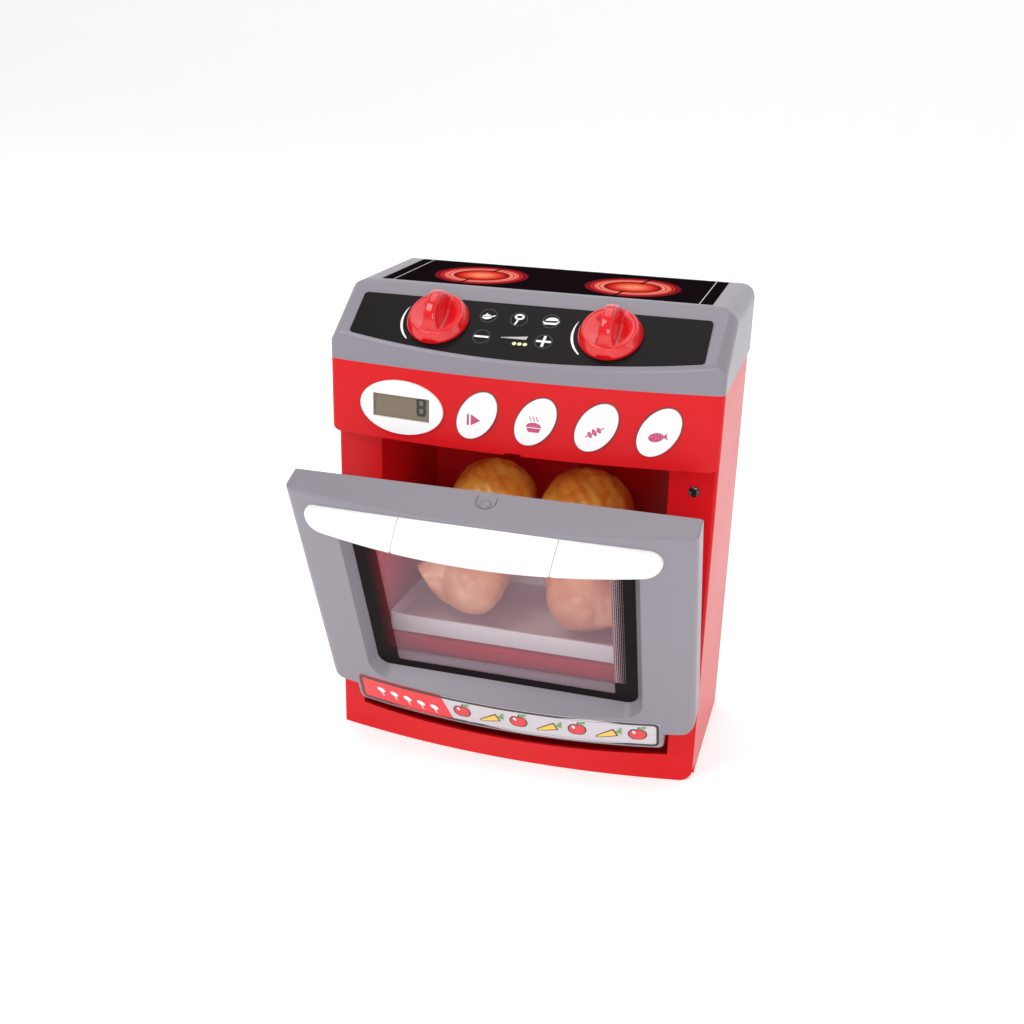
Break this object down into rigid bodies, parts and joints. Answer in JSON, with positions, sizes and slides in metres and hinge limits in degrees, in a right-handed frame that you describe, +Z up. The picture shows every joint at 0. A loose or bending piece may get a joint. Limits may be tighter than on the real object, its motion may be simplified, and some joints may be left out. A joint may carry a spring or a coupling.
{
  "type": "toy oven",
  "caption": "Battery play oven with a printed hob, two turning knobs, display and push buttons on a bowed fascia, a tilting window door and a turning spit of two-faced play chickens.",
  "frame": {"origin": "on the ground under the body, on the middle plane, at the flat underside of the base plate", "axes": "+X to the oven's right as seen from the front, +Y to its back, +Z up"},
  "size_m": [0.24, 0.2117, 0.3011],
  "materials": {
    "red_shell": "moulded red gloss",
    "grey_shell": "moulded lavender grey satin",
    "white_plastic": "moulded white gloss",
    "black_print": "printed black gloss",
    "clear_pane": "clear moulded pane",
    "lcd": "display glass",
    "strip_print": "printed strip",
    "roast_skin": "painted roast skin",
    "raw_skin": "pale painted skin",
    "steel": "plated steel",
    "brass": "turned brass",
    "white_gear": "acetal",
    "board_green": "solder mask",
    "mat_rubber": "silicone rubber",
    "battery_wrap": "printed can",
    "black_plastic": "moulded black",
    "lamp_lens": "clear dome"
  },
  "bodies": {
    "housing": {"rear_housing": "red_shell", "front_frame": "red_shell", "base_plate": "red_shell", "battery_cover": "red_shell", "battery_cells": "battery_wrap", "battery_contacts": "steel", "base_screws": "steel", "speaker": "black_plastic", "hob_cap": "grey_shell", "hob_plate": "black_print", "burner_board_left": "board_green", "burner_board_right": "board_green", "control_panel": "black_print", "cap_screws": "steel", "fascia": "red_shell", "lcd_bezel": "white_plastic", "lcd_module": "lcd", "button_mat": "mat_rubber", "main_board": "board_green", "oven_liner": "red_shell", "liner_screws": "steel", "tray": "white_plastic", "oven_lamp": "lamp_lens", "spit_bushes": "brass", "idler_clip": "steel", "gearbox": "black_plastic", "drive_motor": "steel", "door_switch": "black_plastic", "power_switch": "black_plastic"},
    "door": {"door_frame": "grey_shell", "door_inner": "grey_shell", "hinge_pins": "steel", "door_screws": "steel", "window_pane": "clear_pane", "window_border": "black_print", "door_strip": "strip_print", "handle_left": "white_plastic", "handle_grip": "white_plastic", "handle_right": "white_plastic"},
    "left_knob": {"knob_left": "red_shell", "knob_washer_left": "white_gear", "knob_screw_left": "steel"},
    "right_knob": {"knob_right": "red_shell", "knob_washer_right": "white_gear", "knob_screw_right": "steel"},
    "start_button": {"button_1": "white_plastic"},
    "oven_button": {"button_2": "white_plastic"},
    "grill_button": {"button_3": "white_plastic"},
    "steak_button": {"button_4": "white_plastic"},
    "spit": {"spit_axle": "steel", "spit_gear": "white_gear", "chicken_roast_left": "roast_skin", "chicken_raw_left": "raw_skin", "chicken_roast_right": "roast_skin", "chicken_raw_right": "raw_skin"},
    "idler": {"idler_gear": "white_gear"},
    "pinion": {"drive_pinion": "white_gear"},
    "door_plunger": {"door_switch_plunger": "black_plastic"},
    "power_slide": {"power_slider": "black_plastic"}
  },
  "joints": [
    {"name": "door_hinge", "type": "hinge", "parent": "housing", "child": "door", "pos_m": [0, -0.0796, 0.04805], "axis": [1, 0, 0], "range_deg": [-22.35, 60]},
    {"name": "left_knob_turn", "type": "hinge", "parent": "housing", "child": "left_knob", "pos_m": [-0.0544, -0.06376, 0.28253], "axis": [0, -0.5786, 0.8156], "range_deg": [-135, 135]},
    {"name": "right_knob_turn", "type": "hinge", "parent": "housing", "child": "right_knob", "pos_m": [0.0504, -0.06376, 0.28253], "axis": [0, -0.5786, 0.8156], "range_deg": [-135, 135]},
    {"name": "start_button_press", "type": "slide", "parent": "housing", "child": "start_button", "axis": [0, 1, 0], "range_m": [0, 0.0015], "stiffness_N_per_m": 300, "springref_m": -0.0005},
    {"name": "oven_button_press", "type": "slide", "parent": "housing", "child": "oven_button", "axis": [0, 1, 0], "range_m": [0, 0.0015], "stiffness_N_per_m": 300, "springref_m": -0.0005},
    {"name": "grill_button_press", "type": "slide", "parent": "housing", "child": "grill_button", "axis": [0, 1, 0], "range_m": [0, 0.0015], "stiffness_N_per_m": 300, "springref_m": -0.0005},
    {"name": "steak_button_press", "type": "slide", "parent": "housing", "child": "steak_button", "axis": [0, 1, 0], "range_m": [0, 0.0015], "stiffness_N_per_m": 300, "springref_m": -0.0005},
    {"name": "spit_turn", "type": "hinge", "parent": "housing", "child": "spit", "pos_m": [0, -0.022, 0.131], "axis": [1, 0, 0], "continuous": true},
    {"name": "idler_turn", "type": "hinge", "parent": "housing", "child": "idler", "pos_m": [0.097, -0.022, 0.088], "axis": [1, 0, 0], "continuous": true},
    {"name": "pinion_turn", "type": "hinge", "parent": "housing", "child": "pinion", "pos_m": [0.097, -0.022, 0.06], "axis": [1, 0, 0], "continuous": true},
    {"name": "door_plunger_press", "type": "slide", "parent": "housing", "child": "door_plunger", "axis": [0, 1, 0], "range_m": [0, 0.002], "stiffness_N_per_m": 150, "springref_m": -0.0005},
    {"name": "power_slide_move", "type": "slide", "parent": "housing", "child": "power_slide", "axis": [1, 0, 0], "range_m": [0, 0.004]}
  ],
  "couplings": [
    {"joint": "idler_turn", "follows": "spit_turn", "ratio": -1.0476},
    {"joint": "pinion_turn", "follows": "spit_turn", "ratio": 3.1429}
  ]
}
